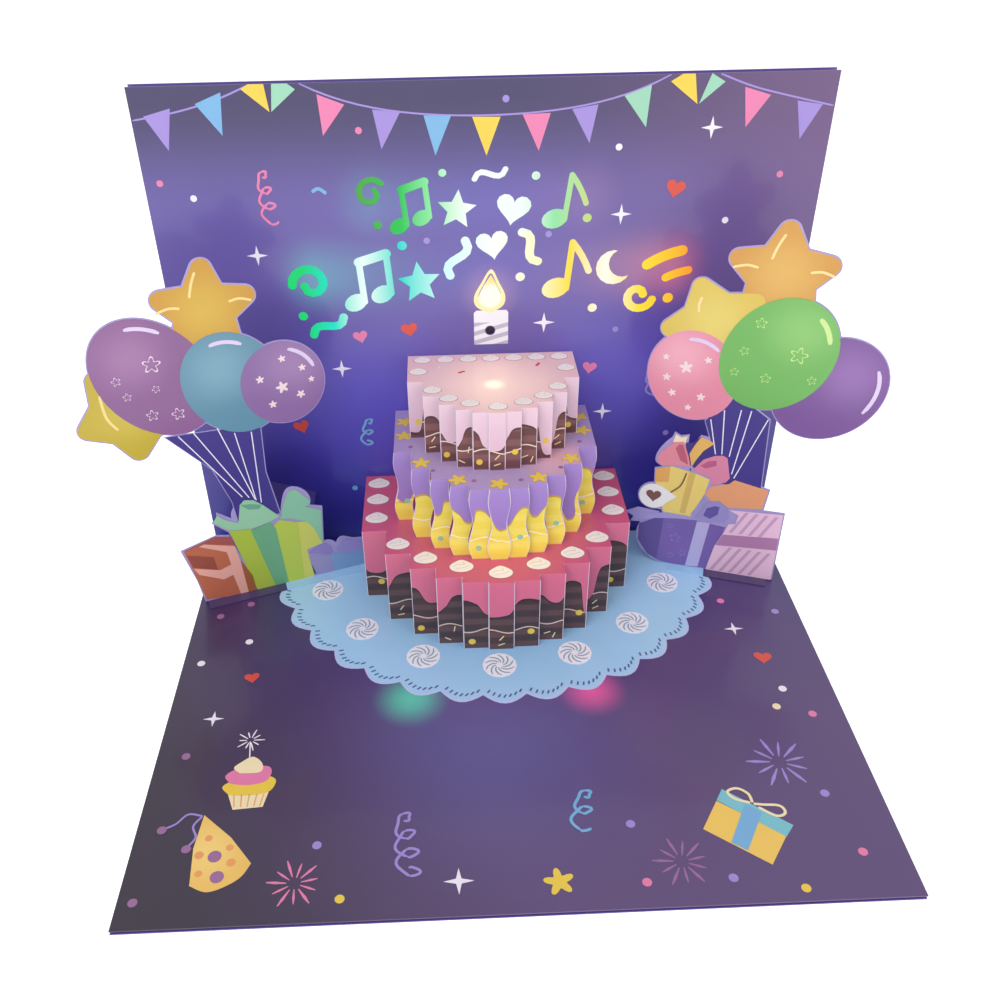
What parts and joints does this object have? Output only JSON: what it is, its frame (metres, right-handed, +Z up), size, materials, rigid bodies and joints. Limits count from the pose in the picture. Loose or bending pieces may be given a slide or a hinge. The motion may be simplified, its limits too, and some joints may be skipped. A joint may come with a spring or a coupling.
{
  "type": "pop up card",
  "caption": "Birthday card that opens to a right angle and raises a tiered cake and wings of balloons and gifts, with lit windows and sound.",
  "frame": {"origin": "underside of the base, below the middle of the spine, at the inner face of the back panel", "axes": "+Z up along the back panel, -Y out along the base, +X to the right along the spine"},
  "size_m": [0.239, 0.1609, 0.1585],
  "materials": {
    "cover_card": "satin laminate",
    "printed_card": "gloss laminate, printed",
    "cake_card": "gloss laminate, printed",
    "wing_card": "gloss laminate, printed",
    "grey_board": "raw",
    "foam": "closed cell foam",
    "film": "frosted",
    "circuit": "solder mask",
    "resin": "cast",
    "chips": "moulded",
    "black_plastic": "moulded",
    "cell_steel": "bright",
    "contact_metal": "stamped",
    "cone_film": "pressed film",
    "tongue_film": "clear film",
    "strip_film": "flexible circuit",
    "lamp_resin": "clear resin on white",
    "lead_sleeve": "flat sleeve"
  },
  "bodies": {
    "root": {"outer_cover": "cover_card", "inner_sheet": "printed_card", "back_spacer": "foam", "base_board": "grey_board", "diffuser_film": "film", "circuit_board": "circuit", "chip_cap": "resin", "board_parts": "chips", "cell_holder": "black_plastic", "cells": "cell_steel", "cell_contact": "contact_metal", "speaker_basket": "black_plastic", "speaker_cone": "cone_film", "microphone": "cell_steel", "contact_switch": "black_plastic", "pull_tongue": "tongue_film", "lamp_strip": "strip_film", "window_lamps": "lamp_resin", "green_lamp": "lamp_resin", "pink_lamp": "lamp_resin", "cake_lamp": "lamp_resin", "speaker_leads": "lead_sleeve", "mic_leads": "lead_sleeve", "switch_leads": "lead_sleeve", "cell_leads": "lead_sleeve", "green_lamp_lead": "lead_sleeve", "pink_lamp_lead": "lead_sleeve", "cake_lamp_lead": "lead_sleeve", "bottom_tier": "cake_card", "middle_tier": "cake_card", "top_tier": "cake_card", "left_wing": "wing_card", "right_wing": "wing_card", "left_arm": "printed_card", "right_arm": "printed_card"}
  },
  "joints": []
}
